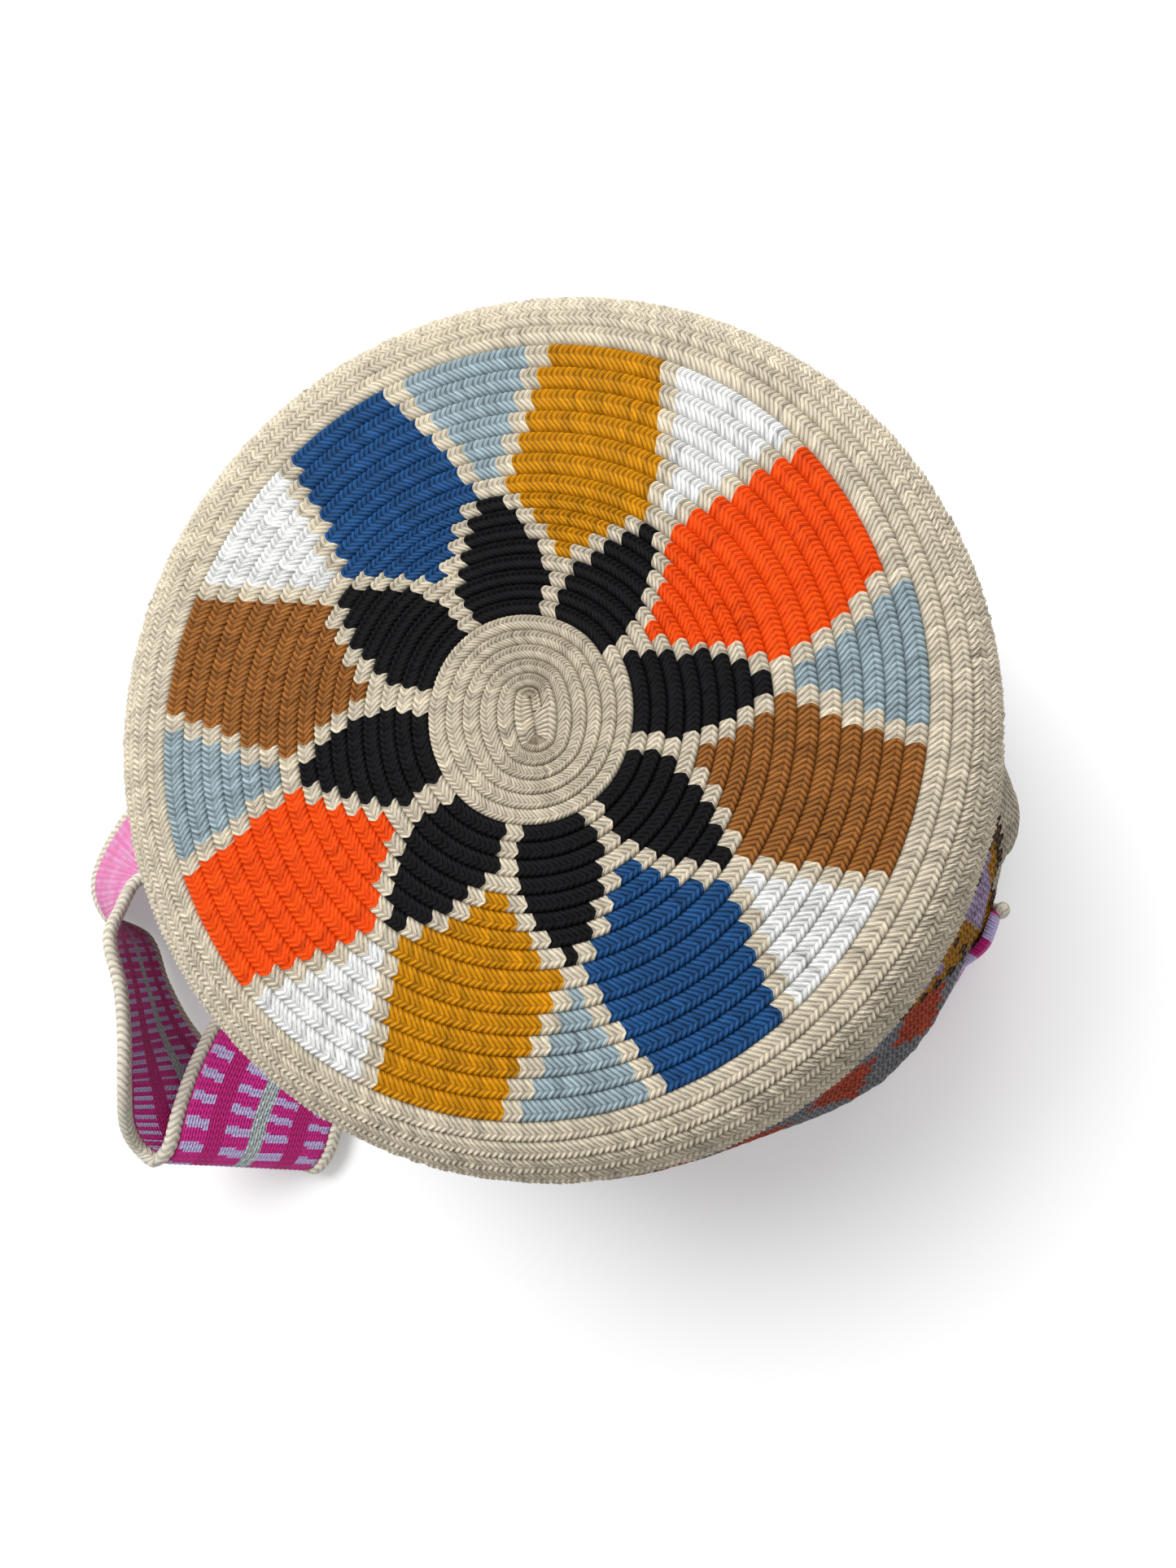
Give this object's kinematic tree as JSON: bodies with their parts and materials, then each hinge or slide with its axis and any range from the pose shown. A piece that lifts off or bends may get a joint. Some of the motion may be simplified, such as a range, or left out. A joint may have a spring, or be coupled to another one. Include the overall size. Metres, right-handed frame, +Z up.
{
  "type": "crocheted shoulder bag",
  "caption": "Round crocheted bucket bag set down on its mouth with its patterned round base up, and its woven shoulder strap folded on the floor beside it.",
  "frame": {"origin": "middle of the footprint of bag and strap together, on the floor", "axes": "+Z up out of the base of the upturned bag, +X to the right in the picture, +Y away from its lower edge"},
  "size_m": [0.3494, 0.2832, 0.1414],
  "materials": {
    "crochet": "matt thick cotton crochet in cream, black, mustard, orange, brown, blue, grey and lilac",
    "woven_band": "matt ribbed weave in magenta with lilac dashes and a grey-green middle stripe",
    "crocheted_edging": "matt rope-like cream crochet"
  },
  "bodies": {
    "root": {"bag_body": "crochet", "strap_band": "woven_band", "strap_border_a": "crocheted_edging", "strap_border_b": "crocheted_edging"}
  },
  "joints": []
}
